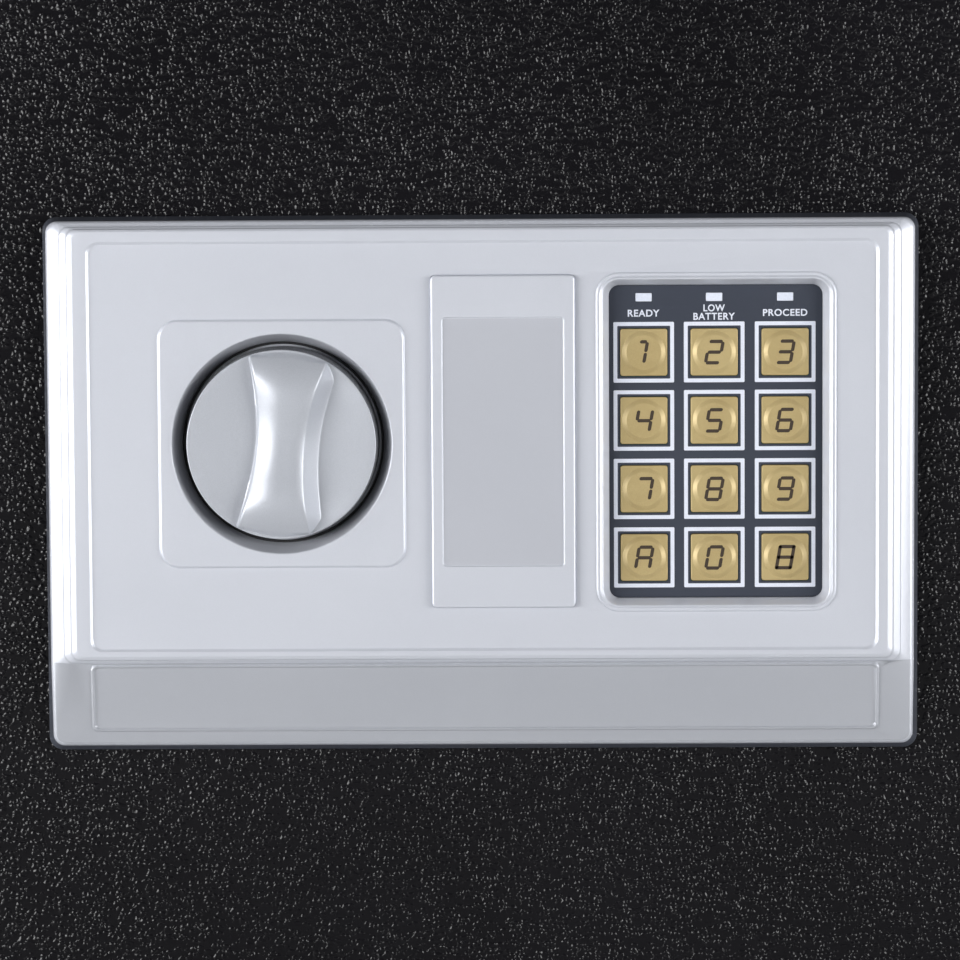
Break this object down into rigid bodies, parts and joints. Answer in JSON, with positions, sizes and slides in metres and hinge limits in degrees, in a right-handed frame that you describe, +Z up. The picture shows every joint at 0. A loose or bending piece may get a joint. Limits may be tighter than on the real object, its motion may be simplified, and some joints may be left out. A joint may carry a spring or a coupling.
{
  "type": "electronic safe",
  "caption": "Small electronic safe: steel cabinet, swinging door, sliding bolts, turn knob, keypad, snap-off key cover and battery box.",
  "frame": {"origin": "on the floor, under the middle of the whole safe's box", "axes": "+X along the width, to the right as seen from the front; -Y out of the door; +Z up"},
  "size_m": [0.35, 0.264, 0.25],
  "materials": {
    "powder_black": "fine orange-peel black powder coat",
    "panel_silver": "satin silver paint on moulded plastic",
    "knob_silver": "satin silver paint",
    "overlay_film": "printed film, dark slate",
    "key_gold": "gold-coloured printed film over a dome",
    "lens_pale": "pale translucent window",
    "zinc": "zinc-plated steel",
    "bright_steel": "ground bright steel",
    "brass": "machined brass",
    "coil_tape": "tape over a copper winding",
    "board_green": "solder-masked board",
    "black_plastic": "moulded black plastic",
    "cell_wrap": "printed cell sleeve",
    "felt_grey": "short felt",
    "red_plastic": "moulded red plastic"
  },
  "bodies": {
    "cabinet": {"body_shell": "powder_black", "back_plate": "powder_black", "strike_plate": "powder_black", "jamb_right": "powder_black", "jamb_top": "powder_black", "jamb_bottom": "powder_black", "floor_mat": "felt_grey"},
    "door": {"door_plate": "powder_black", "mechanism_cover": "powder_black", "cover_screw_1": "zinc", "cover_screw_2": "zinc", "cover_screw_3": "zinc", "cover_screw_4": "zinc", "hinge_block_top": "zinc", "hinge_pin_top": "bright_steel", "hinge_block_bottom": "zinc", "hinge_pin_bottom": "bright_steel", "fascia": "panel_silver", "spindle_bush": "black_plastic", "bolt_guide": "zinc", "keypad_overlay": "overlay_film", "keypad_board": "board_green", "led_ready": "lens_pale", "led_low_battery": "lens_pale", "led_proceed": "lens_pale", "override_lock_body": "zinc", "lock_nut": "zinc", "solenoid_frame": "zinc", "solenoid_coil": "coil_tape", "solenoid_spring": "bright_steel", "battery_box": "black_plastic", "battery_1": "cell_wrap", "battery_2": "cell_wrap", "battery_3": "cell_wrap", "battery_4": "cell_wrap"},
    "knob_shaft": {"knob": "knob_silver", "knob_spindle": "bright_steel", "drive_arm": "zinc"},
    "bolt_work": {"bolt_carriage": "zinc", "bolt_upper": "bright_steel", "bolt_lower": "bright_steel"},
    "plunger": {"solenoid_plunger": "bright_steel"},
    "key_cover": {"override_cover": "panel_silver"},
    "lock_cylinder": {"lock_plug": "brass", "lock_cam": "zinc"},
    "battery_lid": {"battery_door": "black_plastic"},
    "reset": {"reset_button": "red_plastic"},
    "button_1": {"key_1": "key_gold"},
    "button_2": {"key_2": "key_gold"},
    "button_3": {"key_3": "key_gold"},
    "button_4": {"key_4": "key_gold"},
    "button_5": {"key_5": "key_gold"},
    "button_6": {"key_6": "key_gold"},
    "button_7": {"key_7": "key_gold"},
    "button_8": {"key_8": "key_gold"},
    "button_9": {"key_9": "key_gold"},
    "button_a": {"key_a": "key_gold"},
    "button_0": {"key_0": "key_gold"},
    "button_b": {"key_b": "key_gold"}
  },
  "joints": [
    {"name": "door_hinge", "type": "hinge", "parent": "cabinet", "child": "door", "pos_m": [0.143, -0.11, 0.125], "axis": [0, 0, 1], "range_deg": [0, 105]},
    {"name": "knob_turn", "type": "hinge", "parent": "door", "child": "knob_shaft", "pos_m": [-0.0429, -0.118, 0.1333], "axis": [0, -1, 0], "range_deg": [0, 56]},
    {"name": "bolt_slide", "type": "slide", "parent": "door", "child": "bolt_work", "axis": [-1, 0, 0], "range_m": [0, 0.01512]},
    {"name": "plunger_slide", "type": "slide", "parent": "door", "child": "plunger", "axis": [0, 0, 1], "range_m": [0, 0.005], "deforming": ["solenoid_spring"]},
    {"name": "key_cover_pull", "type": "slide", "parent": "door", "child": "key_cover", "axis": [0, -1, 0], "range_m": [0, 0.03]},
    {"name": "lock_turn", "type": "hinge", "parent": "door", "child": "lock_cylinder", "pos_m": [0.0046, -0.118, 0.1338], "axis": [0, 1, 0], "range_deg": [0, 90]},
    {"name": "battery_lid_pull", "type": "slide", "parent": "door", "child": "battery_lid", "axis": [0, 1, 0], "range_m": [0, 0.03]},
    {"name": "reset_press", "type": "slide", "parent": "door", "child": "reset", "axis": [0, -1, 0], "range_m": [0, 0.0015], "stiffness_N_per_m": 300, "springref_m": -0.001},
    {"name": "key_1_press", "type": "slide", "parent": "door", "child": "button_1", "axis": [0, 1, 0], "range_m": [0, 0.0004], "stiffness_N_per_m": 400, "springref_m": -0.001},
    {"name": "key_2_press", "type": "slide", "parent": "door", "child": "button_2", "axis": [0, 1, 0], "range_m": [0, 0.0004], "stiffness_N_per_m": 400, "springref_m": -0.001},
    {"name": "key_3_press", "type": "slide", "parent": "door", "child": "button_3", "axis": [0, 1, 0], "range_m": [0, 0.0004], "stiffness_N_per_m": 400, "springref_m": -0.001},
    {"name": "key_4_press", "type": "slide", "parent": "door", "child": "button_4", "axis": [0, 1, 0], "range_m": [0, 0.0004], "stiffness_N_per_m": 400, "springref_m": -0.001},
    {"name": "key_5_press", "type": "slide", "parent": "door", "child": "button_5", "axis": [0, 1, 0], "range_m": [0, 0.0004], "stiffness_N_per_m": 400, "springref_m": -0.001},
    {"name": "key_6_press", "type": "slide", "parent": "door", "child": "button_6", "axis": [0, 1, 0], "range_m": [0, 0.0004], "stiffness_N_per_m": 400, "springref_m": -0.001},
    {"name": "key_7_press", "type": "slide", "parent": "door", "child": "button_7", "axis": [0, 1, 0], "range_m": [0, 0.0004], "stiffness_N_per_m": 400, "springref_m": -0.001},
    {"name": "key_8_press", "type": "slide", "parent": "door", "child": "button_8", "axis": [0, 1, 0], "range_m": [0, 0.0004], "stiffness_N_per_m": 400, "springref_m": -0.001},
    {"name": "key_9_press", "type": "slide", "parent": "door", "child": "button_9", "axis": [0, 1, 0], "range_m": [0, 0.0004], "stiffness_N_per_m": 400, "springref_m": -0.001},
    {"name": "key_a_press", "type": "slide", "parent": "door", "child": "button_a", "axis": [0, 1, 0], "range_m": [0, 0.0004], "stiffness_N_per_m": 400, "springref_m": -0.001},
    {"name": "key_0_press", "type": "slide", "parent": "door", "child": "button_0", "axis": [0, 1, 0], "range_m": [0, 0.0004], "stiffness_N_per_m": 400, "springref_m": -0.001},
    {"name": "key_b_press", "type": "slide", "parent": "door", "child": "button_b", "axis": [0, 1, 0], "range_m": [0, 0.0004], "stiffness_N_per_m": 400, "springref_m": -0.001}
  ],
  "couplings": [
    {"joint": "knob_turn", "follows": "bolt_slide", "rad_per_m": 64.642}
  ]
}
